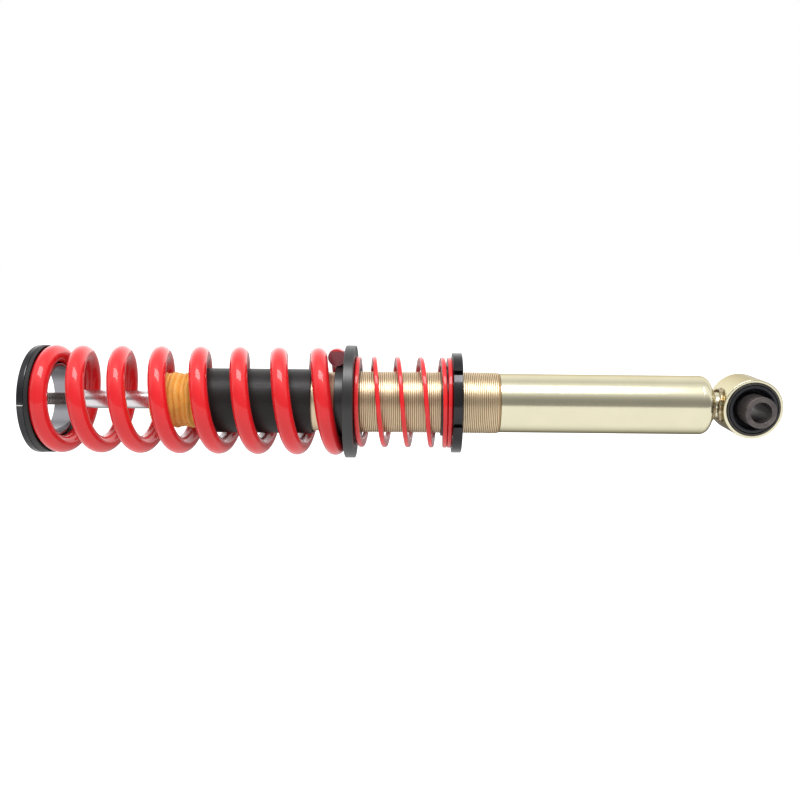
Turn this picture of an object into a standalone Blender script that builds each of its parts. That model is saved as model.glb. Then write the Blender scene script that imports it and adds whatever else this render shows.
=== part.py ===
"""Coilover: a twin-tube damper with a coil spring, a flat-wire helper spring and a threaded perch.

The damper's axis is X, with the mounting eye at +X and the piston rod at -X, and the
eye's bolt runs along Y. The origin is on the damper's axis, halfway along the object.
Stations along X and radii are in millimetres, and MM turns them into metres where a
mesh is made. Angles round the axis run from +Z towards -Y.
"""

import math

import bmesh
import bpy
import numpy as np
from mathutils import Matrix, Vector

MM = 0.001
GAP = 0.3  # between pieces that touch
SIDES = 40  # round a large turned piece
SIDES_SMALL = 24

# Mounting eye and its rubber bush, along Y
HALF_LENGTH = 300.85
EYE_RADIUS = 24.0
EYE_WALL = 2.4
EYE_WIDTH = 36.0
EYE_X = HALF_LENGTH - EYE_RADIUS
BUSH_SLEEVE_WALL = 1.6
BUSH_SLEEVE_WIDTH = 38.0
RUBBER_LIP_RADIUS = 16.7
RUBBER_RECESS = 9.0
CORE_RADIUS = 12.4
CORE_BORE_RADIUS = 8.25
CORE_LENGTH = 68.0

# Damper tube, threaded M50 x 1.5 over its upper length
BODY_RADIUS = 24.0
BORE_RADIUS = 21.5
THREAD_RADIUS = 25.0
TUBE_TOP_X = -95.0
THREAD_START_X = -56.0
THREAD_END_X = 74.55
BODY_END_X = 245.2
END_CORNER = 7.0
CAP_LENGTH = 9.0
NECK_RADIUS = 11.5
WELD_RADIUS = 1.6

# Piston rod, with its top thread and shoulder
ROD_RADIUS = 7.5
STUD_RADIUS = 5.0
STUD_LENGTH = 25.85
ROD_SHOULDER_X = -273.0
ROD_CLEARANCE = 0.35

# Inside of the damper
PRESSURE_BORE = 16.0
PRESSURE_WALL = 1.5
GUIDE_LENGTH = 12.0
SEAL_LENGTH = 5.2
SPIGOT_LENGTH = 6.0
PISTON_RADIUS = 15.4
PISTON_LENGTH = 12.0
SHIM_LENGTH = 2.5
NUT_ACROSS_FLATS = 16.0
NUT_LENGTH = 8.0
STOP_LENGTH = 7.0

# Bump stop and dust boot on the rod
BOOT_RADIUS = 26.25
BOOT_WALL = 1.1
BOOT_LEFT_X = -169.85
BOOT_RIGHT_X = -77.0
BUMP_RADIUS = 23.0
BUMP_RIB = 1.6
BUMP_LENGTH = 36.0
BUMP_RIBS = 3

# Top spring seat and its pad
SEAT_RADIUS = 44.0
SEAT_FLANGE = 5.2
SEAT_BORE = 27.0
HUB_RADIUS = 29.0
SEAT_HUB = 11.8
PAD_THIN = 1.0
PAD_THICK = 8.2
PAD_STEP_ANGLE = 262.0

# Main spring, round wire, right-handed
WIRE_RADIUS = 7.0
SPRING_RADIUS = 37.0
MAIN_POINTS_A_TURN = 24
MAIN_START = -0.244
MAIN_CLOSED_TO = 0.30
MAIN_CLOSED_FROM = 7.472
MAIN_END = 8.022

# Divider ring between the two springs
DIVIDER_X = -50.15
DIVIDER_FLANGE = 8.1
DIVIDER_RADIUS = 46.0
DIVIDER_HUB_LEFT = 8.0
DIVIDER_HUB_RIGHT = 4.0
SLIDING_BORE = 25.4

# Helper spring, flat wire, right-handed
FLAT_RADIAL = 7.0
FLAT_AXIAL = 3.5
HELPER_RADIUS = 33.6
HELPER_POINTS_A_TURN = 24
HELPER_START = -0.475
HELPER_CLOSED_TO = 0.319
HELPER_LAST_OPEN = 3.861
HELPER_LAST_OPEN_X = 27.2
HELPER_NEST = 4.222
HELPER_CLOSED_FROM = 4.972
HELPER_END = 5.217

# Adjuster ring, its spanner notches and its lock screw
ADJUSTER_X = 36.15
ADJUSTER_WIDTH = 7.65
ADJUSTER_RADIUS = 41.0
NOTCH_COUNT = 6
NOTCH_WIDTH = 4.4
NOTCH_DEPTH = 3.2
FIRST_NOTCH_ANGLE = 45.5
LOCK_ANGLE = 255.5
LOCK_RADIUS = 2.3
LOCK_LENGTH = 9.0
LOCK_PAD_LENGTH = 4.4
COLLAR_LENGTH = 8.8
COLLAR_RADIUS = 27.3

TURN_TO_X = Matrix.Rotation(math.radians(90), 4, "Y")
TURN_TO_Y = Matrix.Rotation(math.radians(-90), 4, "X")


def clear_scene():
    for obj in list(bpy.data.objects):
        bpy.data.objects.remove(obj, do_unlink=True)


def new_collection(name):
    collection = bpy.data.collections.new(name)
    bpy.context.scene.collection.children.link(collection)
    return collection


def material(name, colour, roughness, metallic):
    made = bpy.data.materials.new(name)
    made.use_nodes = True
    shader = made.node_tree.nodes["Principled BSDF"]
    shader.inputs["Base Color"].default_value = (*colour, 1.0)
    shader.inputs["Roughness"].default_value = roughness
    shader.inputs["Metallic"].default_value = metallic
    made.diffuse_color = (*colour, 1.0)
    return made


def gold(name):
    return material(name, (0.72, 0.58, 0.33), 0.3, 1.0)


def black_metal(name):
    return material(name, (0.03, 0.03, 0.032), 0.35, 0.8)


def steel(name):
    return material(name, (0.55, 0.55, 0.56), 0.35, 1.0)


def black_rubber(name):
    return material(name, (0.02, 0.02, 0.022), 0.7, 0.0)


def empty(name, station, parent=None):
    """A body's reference on the damper's axis, which its joint moves."""
    obj = bpy.data.objects.new(name, None)
    parts.objects.link(obj)
    place(obj, (station, 0, 0), parent)
    return obj


def place(obj, point, parent, turn=None):
    """Puts an object at a point in mm in world space, under its parent."""
    world = Matrix.Translation(Vector(point) * MM) @ (turn or Matrix())
    if parent:
        obj.parent = parent
        world = Matrix.Translation(-absolute(parent)) @ world
    obj.matrix_basis = world


def absolute(obj):
    """Where an unturned empty stands, through all of its parents."""
    return obj.location + absolute(obj.parent) if obj.parent else obj.location.copy()


def add_mesh(name, mesh, finish, collection=None):
    obj = bpy.data.objects.new(name, mesh)
    (collection or parts).objects.link(obj)
    if finish:
        mesh.materials.append(finish)
    return obj


def turned(name, outline, start, body, finish, sides=SIDES, turn=TURN_TO_X, centre=None):
    """Turns an outline of (along, radius) points, which runs back down its outer side first.

    An outline that touches the axis at both ends is open there; any other is a closed loop.
    """
    mesh = bpy.data.meshes.new(name)
    points = [(radius * MM, 0, along * MM) for along, radius in outline]
    edges = [(i, i + 1) for i in range(len(points) - 1)]
    if outline[0][1] > 0:
        edges.append((len(points) - 1, 0))
    mesh.from_pydata(points, edges, [])
    obj = add_mesh(name, mesh, finish)
    screw = obj.modifiers.new("turn", "SCREW")
    screw.axis = "Z"
    screw.angle = math.tau
    screw.steps = sides
    screw.render_steps = sides
    screw.use_merge_vertices = True
    screw.merge_threshold = 0.00005
    place(obj, centre or (start, 0, 0), body, turn)
    return obj


def ring(name, start, length, outer, inner, body, finish, sides=SIDES):
    outline = [(length, outer), (0, outer), (0, inner), (length, inner)]
    return turned(name, outline, start, body, finish, sides)


def eye_piece(name, half_outline, body, finish):
    """A turned piece of the eye, along Y: its +Y half runs inwards, and -Y mirrors it."""
    mirrored = [(-along, radius) for along, radius in half_outline]
    outline = [half_outline[0], *mirrored, *half_outline[:0:-1]]
    return turned(name, outline, 0, body, finish, turn=TURN_TO_Y, centre=(EYE_X, 0, 0))


def cut(obj, name, mesh):
    """Cuts a closed mesh, in world space and metres, out of an object."""
    cutter = add_mesh(name, mesh, None, cutters)
    cutter.hide_render = True
    cutter.display_type = "WIRE"
    boolean = obj.modifiers.new(name, "BOOLEAN")
    boolean.operation = "DIFFERENCE"
    boolean.solver = "EXACT"
    boolean.object = cutter


def cylinder_mesh(name, radius, length, matrix, sides=SIDES_SMALL):
    """A cylinder along the matrix's Z, centred on it, with the matrix in metres."""
    shape = bmesh.new()
    bmesh.ops.create_cone(
        shape, cap_ends=True, segments=sides,
        radius1=radius * MM, radius2=radius * MM, depth=length * MM, matrix=matrix,
    )
    mesh = bpy.data.meshes.new(name)
    shape.to_mesh(mesh)
    shape.free()
    return mesh


def round_the_axis(angle, radius, station):
    """A point in mm at an angle in degrees from +Z towards -Y."""
    turn = math.radians(angle)
    return Vector((station, -radius * math.sin(turn), radius * math.cos(turn)))


def outward(angle):
    """Turns Z outwards from the damper's axis, at an angle from +Z towards -Y."""
    return Matrix.Rotation(math.radians(angle), 4, "X")


def coil_station(turns, knots):
    """The wire's station after so many turns: straight runs between knots, blended at each."""
    window = turns + np.linspace(-0.1, 0.1, 9)
    return float(np.interp(window, [knot[0] for knot in knots], [knot[1] for knot in knots]).mean())


def coil(name, radius, knots, points_a_turn, body, finish):
    """A right-handed coil of wire: a poly curve about X, from its first knot to its last."""
    first, last = knots[0][0], knots[-1][0]
    count = round((last - first) * points_a_turn) + 1
    curve = bpy.data.curves.new(name, "CURVE")
    curve.dimensions = "3D"
    curve.twist_mode = "Z_UP"
    curve.use_fill_caps = True
    curve.materials.append(finish)
    spline = curve.splines.new("POLY")
    spline.points.add(count - 1)
    for point, turns in zip(spline.points, np.linspace(first, last, count)):
        angle = turns * math.tau
        along = coil_station(turns, knots)
        local = (-radius * math.cos(angle), -radius * math.sin(angle), along)
        point.co = (*[value * MM for value in local], 1)
    obj = bpy.data.objects.new(name, curve)
    parts.objects.link(obj)
    place(obj, (0, 0, 0), body, TURN_TO_X)
    return obj


def weld_into_mesh(curve_object, body):
    """Makes a curve's solid one closed mesh, with its caps welded and facing outwards."""
    bpy.context.view_layer.update()
    graph = bpy.context.evaluated_depsgraph_get()
    mesh = bpy.data.meshes.new_from_object(curve_object.evaluated_get(graph))
    shape = bmesh.new()
    shape.from_mesh(mesh)
    bmesh.ops.remove_doubles(shape, verts=shape.verts, dist=0.00001)
    bmesh.ops.recalc_face_normals(shape, faces=shape.faces)
    shape.to_mesh(mesh)
    shape.free()
    name = curve_object.name
    bpy.data.objects.remove(curve_object)
    obj = add_mesh(name, mesh, None)
    place(obj, (0, 0, 0), body, TURN_TO_X)


def settle(collection):
    """Turns every piece's modifiers into mesh, and shades round faces smooth up to a corner."""
    graph = bpy.context.evaluated_depsgraph_get()
    made = {
        obj: bpy.data.meshes.new_from_object(obj.evaluated_get(graph))
        for obj in collection.objects
        if obj.type == "MESH"
    }
    for obj, mesh in made.items():
        obj.modifiers.clear()
        obj.data = mesh
        mesh.name = obj.name
        mesh.shade_smooth()
        mesh.set_sharp_from_angle(angle=math.radians(40))


def make_eye(body, core_body):
    """The welded eye, and the bush in it: steel sleeve, bonded rubber and inner sleeve."""
    half = EYE_WIDTH / 2
    inside = EYE_RADIUS - EYE_WALL
    eye_piece("eye_ring", [(half, EYE_RADIUS), (half, inside)], body, gold("eye_gold"))
    half = BUSH_SLEEVE_WIDTH / 2
    sleeve = inside - GAP
    bond = sleeve - BUSH_SLEEVE_WALL
    shell = black_metal("bush_shell")
    eye_piece("bush_outer_sleeve", [(half, sleeve), (half, bond)], body, shell)
    recess = half - RUBBER_RECESS
    outline = [
        (half, bond - GAP), (half, RUBBER_LIP_RADIUS),
        (recess, RUBBER_LIP_RADIUS - 1.5), (recess, CORE_RADIUS + GAP),
    ]
    eye_piece("bush_rubber", outline, body, black_rubber("bush_black"))
    half = CORE_LENGTH / 2
    outline = [(half, CORE_RADIUS), (half, CORE_BORE_RADIUS)]
    eye_piece("bush_inner_sleeve", outline, core_body, steel("bush_steel"))


def make_damper_tube(body):
    """The threaded tube, the plain tube welded to it, the base cap, and the neck to the eye."""
    lead_in = THREAD_START_X - TUBE_TOP_X
    length = THREAD_END_X - TUBE_TOP_X
    outline = [
        (length, THREAD_RADIUS), (lead_in, THREAD_RADIUS), (lead_in - 1, BODY_RADIUS),
        (0, BODY_RADIUS), (0, BORE_RADIUS), (length, BORE_RADIUS),
    ]
    turned("threaded_tube", outline, TUBE_TOP_X, body, gold("thread_gold"))
    start = THREAD_END_X + GAP
    cap_start = BODY_END_X - CAP_LENGTH
    ring(
        "body_tube", start, cap_start - GAP - start, BODY_RADIUS, BORE_RADIUS,
        body, gold("body_gold"),
    )
    corner = [
        (CAP_LENGTH - END_CORNER * (1 - math.cos(turn)), BODY_RADIUS - END_CORNER * (1 - math.sin(turn)))
        for turn in np.radians([0, 22.5, 45, 67.5, 90])
    ]
    spigot = BORE_RADIUS - GAP
    outline = [(CAP_LENGTH, 0), *corner, (0, BODY_RADIUS), (0, spigot), (-4, spigot), (-4, 0)]
    turned("base_cap", outline, cap_start, body, gold("cap_gold"))
    neck_start = BODY_END_X + GAP
    outline = [(EYE_RADIUS, 0), (EYE_RADIUS, NECK_RADIUS), (0, NECK_RADIUS), (0, 0)]
    neck = turned("eye_neck", outline, neck_start, body, gold("neck_gold"), SIDES_SMALL)
    saddle = Matrix.Translation((EYE_X * MM, 0, 0)) @ TURN_TO_Y
    cut(neck, "eye_saddle_cutter", cylinder_mesh("eye_saddle", EYE_RADIUS + GAP, 60, saddle, 64))
    bead = [
        (WELD_RADIUS * (1 + math.cos(turn)), NECK_RADIUS + GAP + WELD_RADIUS * (1 + math.sin(turn)))
        for turn in np.radians([0, 60, 120, 180, 240, 300])
    ]
    turned("neck_weld", bead, neck_start, body, gold("weld_gold"), SIDES_SMALL)


def make_damper_inside(body):
    """Gland, wiper, seal, guide, pressure tube and base valve, from the rod's end inwards."""
    rod_bore = ROD_RADIUS + ROD_CLEARANCE
    fit = BORE_RADIUS - GAP
    gland = [
        (5.5, fit), (-GAP, fit), (-GAP, BODY_RADIUS), (-3.5, BODY_RADIUS),
        (-3.5, rod_bore), (5.5, rod_bore),
    ]
    turned("gland_nut", gland, TUBE_TOP_X, body, black_metal("gland_black"))
    ring("dust_wiper", TUBE_TOP_X - 7, 3.2, 11.5, rod_bore, body, black_rubber("wiper_black"), SIDES_SMALL)
    seal_start = TUBE_TOP_X + 5.5 + GAP
    ring("oil_seal", seal_start, SEAL_LENGTH, fit, rod_bore, body, black_rubber("seal_black"), SIDES_SMALL)
    guide_start = seal_start + SEAL_LENGTH + GAP
    spigot = PRESSURE_BORE - GAP
    whole = GUIDE_LENGTH + SPIGOT_LENGTH
    guide = [
        (whole, spigot), (GUIDE_LENGTH, spigot), (GUIDE_LENGTH, fit), (0, fit),
        (0, rod_bore), (whole, rod_bore),
    ]
    turned("rod_guide", guide, guide_start, body, steel("guide_steel"), SIDES_SMALL)
    tube_start = guide_start + GUIDE_LENGTH + GAP
    valve_start = BODY_END_X - CAP_LENGTH - 4 - GAP - 8
    ring(
        "pressure_tube", tube_start, valve_start - GAP - tube_start,
        PRESSURE_BORE + PRESSURE_WALL, PRESSURE_BORE, body, steel("tube_steel"), SIDES_SMALL,
    )
    valve = [(8, 0), (8, 12), (6, 20), (0, 20), (0, spigot), (-5, spigot), (-5, 0)]
    turned("base_valve", valve, valve_start, body, steel("valve_steel"), SIDES_SMALL)
    return guide_start + whole


def make_rod(body, guide_end):
    """The rod and what it carries: rebound stop, shims, piston and band, and the nut."""
    stop_start = guide_end + GAP
    spigot_start = stop_start + STOP_LENGTH + 4
    bore = STUD_RADIUS + GAP
    shims_start = spigot_start + GAP
    piston_start = shims_start + SHIM_LENGTH + GAP
    far_shims_start = piston_start + PISTON_LENGTH + GAP
    nut_start = far_shims_start + SHIM_LENGTH + GAP
    shoulder = STUD_LENGTH
    rod_end = nut_start + NUT_LENGTH + 2 - ROD_SHOULDER_X + shoulder
    inner_shoulder = spigot_start - ROD_SHOULDER_X + shoulder
    outline = [
        (rod_end, 0), (rod_end, STUD_RADIUS), (inner_shoulder, STUD_RADIUS),
        (inner_shoulder, ROD_RADIUS), (shoulder, ROD_RADIUS), (shoulder, STUD_RADIUS),
        (1, STUD_RADIUS), (0, STUD_RADIUS - 1), (0, 0),
    ]
    chrome = material("rod_chrome", (0.75, 0.75, 0.77), 0.1, 1.0)
    turned("piston_rod", outline, ROD_SHOULDER_X - shoulder, body, chrome, SIDES_SMALL)
    white = material("stop_white", (0.75, 0.73, 0.68), 0.6, 0.0)
    ring("rebound_stop", stop_start, STOP_LENGTH, 12, ROD_RADIUS + GAP, body, white, SIDES_SMALL)
    ring("rebound_shims", shims_start, SHIM_LENGTH, 10, bore, body, steel("shim_steel"), SIDES_SMALL)
    groove = PISTON_RADIUS - 1.4
    outline = [
        (PISTON_LENGTH, PISTON_RADIUS), (PISTON_LENGTH - 2, PISTON_RADIUS), (PISTON_LENGTH - 2, groove),
        (2, groove), (2, PISTON_RADIUS), (0, PISTON_RADIUS), (0, bore), (PISTON_LENGTH, bore),
    ]
    turned("piston", outline, piston_start, body, steel("piston_steel"), SIDES_SMALL)
    band = material("band_bronze", (0.45, 0.33, 0.2), 0.5, 0.2)
    band_length = PISTON_LENGTH - 4 - 2 * GAP
    ring(
        "piston_band", piston_start + 2 + GAP, band_length, PRESSURE_BORE - GAP, groove + GAP,
        body, band, SIDES_SMALL,
    )
    ring(
        "compression_shims", far_shims_start, SHIM_LENGTH, 10, bore, body,
        steel("far_shim_steel"), SIDES_SMALL,
    )
    middle = Matrix.Translation(((nut_start + NUT_LENGTH / 2) * MM, 0, 0)) @ TURN_TO_X
    corner_radius = NUT_ACROSS_FLATS / math.sqrt(3)
    hexagon = cylinder_mesh("piston_nut", corner_radius, NUT_LENGTH, Matrix(), 6)
    nut = add_mesh("piston_nut", hexagon, steel("nut_steel"))
    place(nut, (nut_start + NUT_LENGTH / 2, 0, 0), body, TURN_TO_X)
    cut(nut, "nut_bore_cutter", cylinder_mesh("nut_bore", bore, NUT_LENGTH * 2, middle))


def make_boot(body):
    """The foam bump stop and the plastic dust boot that it is clipped to, loose on the rod."""
    bore = ROD_RADIUS + ROD_CLEARANCE
    steps = 4 * BUMP_RIBS
    wave = [
        (BUMP_LENGTH * i / steps, BUMP_RADIUS - BUMP_RIB * (0.5 + 0.5 * math.cos(math.tau * i / 4)))
        for i in range(steps, -1, -1)
    ]
    foam = material("bump_foam", (0.75, 0.3, 0.06), 0.7, 0.0)
    outline = [*wave, (0, bore), (BUMP_LENGTH, bore)]
    start = BOOT_LEFT_X - GAP - BUMP_LENGTH
    turned("bump_stop", outline, start, body, foam, SIDES_SMALL)
    length = BOOT_RIGHT_X - BOOT_LEFT_X
    inside = BOOT_RADIUS - BOOT_WALL
    outline = [
        (length, BOOT_RADIUS), (1, BOOT_RADIUS), (0, BOOT_RADIUS - 1),
        (0, bore + 3), (BOOT_WALL, bore + 3), (BOOT_WALL, inside), (length, inside),
    ]
    plastic = material("boot_plastic", (0.025, 0.025, 0.026), 0.45, 0.0)
    turned("dust_boot", outline, BOOT_LEFT_X, body, plastic)


def main_knots():
    left = -HALF_LENGTH + SEAT_FLANGE + 2 * GAP + PAD_THIN + WIRE_RADIUS
    right = DIVIDER_X - GAP - WIRE_RADIUS
    return [(MAIN_START, left), (MAIN_CLOSED_TO, left), (MAIN_CLOSED_FROM, right), (MAIN_END, right)]


def make_top_seat(body):
    """The flanged ring that the spring pushes on, and its pad, a ramp under the first coil."""
    outline = [
        (SEAT_FLANGE + SEAT_HUB, HUB_RADIUS), (SEAT_FLANGE, HUB_RADIUS),
        (SEAT_FLANGE, SEAT_RADIUS - 0.5), (SEAT_FLANGE - 0.5, SEAT_RADIUS), (0.5, SEAT_RADIUS),
        (0, SEAT_RADIUS - 0.5), (0, SEAT_BORE), (SEAT_FLANGE + SEAT_HUB, SEAT_BORE),
    ]
    turned("top_seat_ring", outline, -HALF_LENGTH, body, black_metal("seat_black"))

    shape = bmesh.new()
    corners = [(SEAT_RADIUS - GAP, PAD_THIN), (SEAT_RADIUS - GAP, 0), (HUB_RADIUS + GAP, 0)]
    corners.append((HUB_RADIUS + GAP, PAD_THIN))
    made = [shape.verts.new((0, -radius * MM, along * MM)) for radius, along in corners]
    edges = [shape.edges.new((made[i - 1], made[i])) for i in range(4)]
    bmesh.ops.spin(
        shape, geom=made + edges, cent=(0, 0, 0), axis=(0, 0, 1), angle=math.tau, steps=SIDES, use_merge=True
    )
    bmesh.ops.remove_doubles(shape, verts=shape.verts, dist=0.00001)
    knots = main_knots()
    for vert in shape.verts:
        if vert.co.z < 0.5 * PAD_THIN * MM:
            continue
        angle = math.degrees(math.atan2(-vert.co.y, -vert.co.x)) % 360
        rise = coil_station(angle / 360, knots) - knots[0][1] if angle < PAD_STEP_ANGLE else 0
        vert.co.z = min(PAD_THIN + rise, PAD_THICK) * MM
    bmesh.ops.triangulate(shape, faces=shape.faces)
    bmesh.ops.recalc_face_normals(shape, faces=shape.faces)
    mesh = bpy.data.meshes.new("spring_pad")
    shape.to_mesh(mesh)
    shape.free()
    pad = add_mesh("spring_pad", mesh, black_rubber("pad_black"))
    place(pad, (-HALF_LENGTH + SEAT_FLANGE + GAP, 0, 0), body, TURN_TO_X)


def make_springs(divider_body, collar_body):
    """The main spring stands on the divider ring, and the helper spring on the adjuster's collar."""
    red = material("spring_red", (0.8, 0.02, 0.03), 0.2, 0.0)
    main = coil("main_spring", SPRING_RADIUS, main_knots(), MAIN_POINTS_A_TURN, divider_body, red)
    main.data.bevel_depth = WIRE_RADIUS * MM
    main.data.bevel_resolution = 2

    left = DIVIDER_X + DIVIDER_FLANGE + GAP + FLAT_AXIAL / 2
    right = ADJUSTER_X - GAP - FLAT_AXIAL / 2
    knots = [
        (HELPER_START, left), (HELPER_CLOSED_TO, left), (HELPER_LAST_OPEN, HELPER_LAST_OPEN_X),
        (HELPER_NEST, right - FLAT_AXIAL - 1.3 * GAP), (HELPER_CLOSED_FROM, right), (HELPER_END, right),
    ]
    section = bpy.data.curves.new("flat_wire_section", "CURVE")
    outline = section.splines.new("POLY")
    outline.points.add(3)
    half_along, half_out = FLAT_AXIAL / 2 * MM, FLAT_RADIAL / 2 * MM
    for point, (across, up) in zip(outline.points, [(1, 1), (-1, 1), (-1, -1), (1, -1)]):
        point.co = (across * half_out, up * half_along, 0, 1)
    outline.use_cyclic_u = True
    guide = bpy.data.objects.new("flat_wire_section", section)
    guide.hide_render = True
    guide.display_type = "WIRE"
    cutters.objects.link(guide)
    helper_red = material("helper_red", (0.8, 0.03, 0.03), 0.25, 0.0)
    helper = coil("helper_spring", HELPER_RADIUS, knots, HELPER_POINTS_A_TURN, collar_body, helper_red)
    helper.data.bevel_mode = "OBJECT"
    helper.data.bevel_object = guide
    weld_into_mesh(helper, collar_body)


def make_divider(body):
    """The loose ring between the springs, with a hub into each."""
    left, right = -DIVIDER_HUB_LEFT, DIVIDER_FLANGE + DIVIDER_HUB_RIGHT
    edge = 0.6
    outline = [
        (right, HUB_RADIUS), (DIVIDER_FLANGE, HUB_RADIUS),
        (DIVIDER_FLANGE, DIVIDER_RADIUS - edge), (DIVIDER_FLANGE - edge, DIVIDER_RADIUS),
        (edge, DIVIDER_RADIUS), (0, DIVIDER_RADIUS - edge), (0, HUB_RADIUS),
        (left, HUB_RADIUS), (left, SLIDING_BORE), (right, SLIDING_BORE),
    ]
    turned("divider_ring", outline, DIVIDER_X, body, black_metal("divider_black"))


def make_adjuster(body, collar_body, lock_body):
    """The threaded perch with its notches and lock screw, and the collar that centres the helper."""
    edge = 0.6
    outline = [
        (ADJUSTER_WIDTH, ADJUSTER_RADIUS - edge), (ADJUSTER_WIDTH - edge, ADJUSTER_RADIUS),
        (edge, ADJUSTER_RADIUS), (0, ADJUSTER_RADIUS - edge), (0, SLIDING_BORE),
        (ADJUSTER_WIDTH, SLIDING_BORE),
    ]
    adjuster = turned("adjuster_ring", outline, ADJUSTER_X, body, black_metal("adjuster_black"))
    middle = ADJUSTER_X + ADJUSTER_WIDTH / 2
    shape = bmesh.new()
    for i in range(NOTCH_COUNT):
        angle = FIRST_NOTCH_ANGLE + 360 / NOTCH_COUNT * i
        centre = round_the_axis(angle, ADJUSTER_RADIUS, middle) * MM
        size = Matrix.Diagonal((ADJUSTER_WIDTH * 2 * MM, NOTCH_WIDTH * MM, NOTCH_DEPTH * 2 * MM, 1))
        bmesh.ops.create_cube(shape, size=1, matrix=Matrix.Translation(centre) @ outward(angle) @ size)
    notches = bpy.data.meshes.new("notches")
    shape.to_mesh(notches)
    shape.free()
    cut(adjuster, "notch_cutter", notches)
    mouth = round_the_axis(LOCK_ANGLE, (SLIDING_BORE + ADJUSTER_RADIUS) / 2, middle) * MM
    hole = Matrix.Translation(mouth) @ outward(LOCK_ANGLE)
    cut(adjuster, "lock_hole_cutter", cylinder_mesh("lock_hole", LOCK_RADIUS + GAP, 30, hole, 16))

    pad_middle = SLIDING_BORE + GAP + LOCK_PAD_LENGTH / 2
    screw_middle = pad_middle + LOCK_PAD_LENGTH / 2 + GAP + LOCK_LENGTH / 2
    for name, radius, length, owner, finish in (
        ("lock_pad", pad_middle, LOCK_PAD_LENGTH, body, material("nylon", (0.8, 0.78, 0.7), 0.5, 0.0)),
        ("lock_screw", screw_middle, LOCK_LENGTH, lock_body, black_metal("screw_black")),
    ):
        mesh = cylinder_mesh(name, LOCK_RADIUS, length, Matrix(), 16)
        obj = add_mesh(name, mesh, finish)
        place(obj, round_the_axis(LOCK_ANGLE, radius, middle), owner, outward(LOCK_ANGLE))
    ring(
        "guide_collar", ADJUSTER_X - GAP - COLLAR_LENGTH, COLLAR_LENGTH, COLLAR_RADIUS, SLIDING_BORE,
        collar_body, black_metal("collar_black"),
    )


clear_scene()
parts = new_collection("coilover")
cutters = new_collection("cutters")
damper_body = empty("damper_body", 0)
rod_body = empty("rod_body", ROD_SHOULDER_X, damper_body)
boot_body = empty("boot_body", BOOT_LEFT_X, damper_body)
core_body = empty("bush_core_body", EYE_X, damper_body)
collar_body = empty("collar_body", ADJUSTER_X, damper_body)
adjuster_body = empty("adjuster_body", ADJUSTER_X, collar_body)
lock_body = empty("lock_screw_body", ADJUSTER_X + ADJUSTER_WIDTH / 2, adjuster_body)
divider_body = empty("divider_body", DIVIDER_X, collar_body)
seat_body = empty("top_seat_body", -HALF_LENGTH, divider_body)
make_eye(damper_body, core_body)
make_damper_tube(damper_body)
make_rod(rod_body, make_damper_inside(damper_body))
make_boot(boot_body)
make_top_seat(seat_body)
make_springs(divider_body, collar_body)
make_divider(divider_body)
make_adjuster(adjuster_body, collar_body, lock_body)
settle(parts)
for cutter in list(cutters.objects):
    bpy.data.objects.remove(cutter, do_unlink=True)
bpy.data.collections.remove(cutters)
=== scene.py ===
"""Coilover: the finished surfaces of a threaded-body damper with its main and helper springs.

The damper's axis is X, with the mounting eye at +X and the rod's thread at -X. Sizes are in
millimetres and MM turns them into metres where a mesh is made. Angles round the axis run from
+Z towards -Y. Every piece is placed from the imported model's own boxes.
"""

import math

import bmesh
import bpy
import numpy as np
from bpy.props import FloatProperty, FloatVectorProperty, IntProperty, PointerProperty
from mathutils import Matrix, Vector


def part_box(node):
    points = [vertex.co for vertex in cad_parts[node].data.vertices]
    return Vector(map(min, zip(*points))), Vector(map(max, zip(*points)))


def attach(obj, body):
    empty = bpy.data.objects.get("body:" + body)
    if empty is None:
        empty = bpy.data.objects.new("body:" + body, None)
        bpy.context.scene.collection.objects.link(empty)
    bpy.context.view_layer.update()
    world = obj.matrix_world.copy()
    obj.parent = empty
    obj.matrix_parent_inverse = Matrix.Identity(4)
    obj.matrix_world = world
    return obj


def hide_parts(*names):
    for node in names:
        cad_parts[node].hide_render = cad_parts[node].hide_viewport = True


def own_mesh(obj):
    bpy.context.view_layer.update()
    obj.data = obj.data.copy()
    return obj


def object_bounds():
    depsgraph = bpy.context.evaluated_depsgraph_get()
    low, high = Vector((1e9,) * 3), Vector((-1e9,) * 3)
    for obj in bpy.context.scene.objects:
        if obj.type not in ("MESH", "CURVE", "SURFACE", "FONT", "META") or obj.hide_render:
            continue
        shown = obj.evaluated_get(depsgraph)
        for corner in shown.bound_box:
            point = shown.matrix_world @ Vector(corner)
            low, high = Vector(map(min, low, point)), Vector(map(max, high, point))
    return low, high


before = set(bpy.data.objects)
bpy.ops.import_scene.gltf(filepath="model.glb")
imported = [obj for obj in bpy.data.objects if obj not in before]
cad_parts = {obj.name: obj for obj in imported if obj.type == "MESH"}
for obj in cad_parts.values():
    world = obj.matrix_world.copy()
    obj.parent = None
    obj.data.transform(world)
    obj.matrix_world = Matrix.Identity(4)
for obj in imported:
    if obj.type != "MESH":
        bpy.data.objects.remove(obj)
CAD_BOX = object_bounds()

bl_info = {
    "name": "Coilover",
    "version": (1, 0, 0),
    "blender": (4, 5, 0),
    "location": "View3D > Sidebar > Coilover",
    "description": "Builds the visible pieces of a coilover round its packed model",
    "category": "Object",
}

MM = 0.001
SIDES = 128  # round a large turned piece
SIDES_SMALL = 64
THREAD_SIDES = 112
CORNER_STEPS = 5
SHARP = math.radians(42)
DAMPER_AXIS, EYE_AXIS = "damper", "eye"  # what a turned piece was turned about


def hex_colour(text):
    """An sRGB hex colour as the linear colour that a shader takes."""
    parts = [int(text[i:i + 2], 16) / 255 for i in (1, 3, 5)]
    return [p / 12.92 if p <= 0.04045 else ((p + 0.055) / 1.055) ** 2.4 for p in parts] + [1.0]


def along(node):
    """Where a CAD node starts and ends along X, in mm."""
    low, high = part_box(node)
    return low.x / MM, high.x / MM


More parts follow.
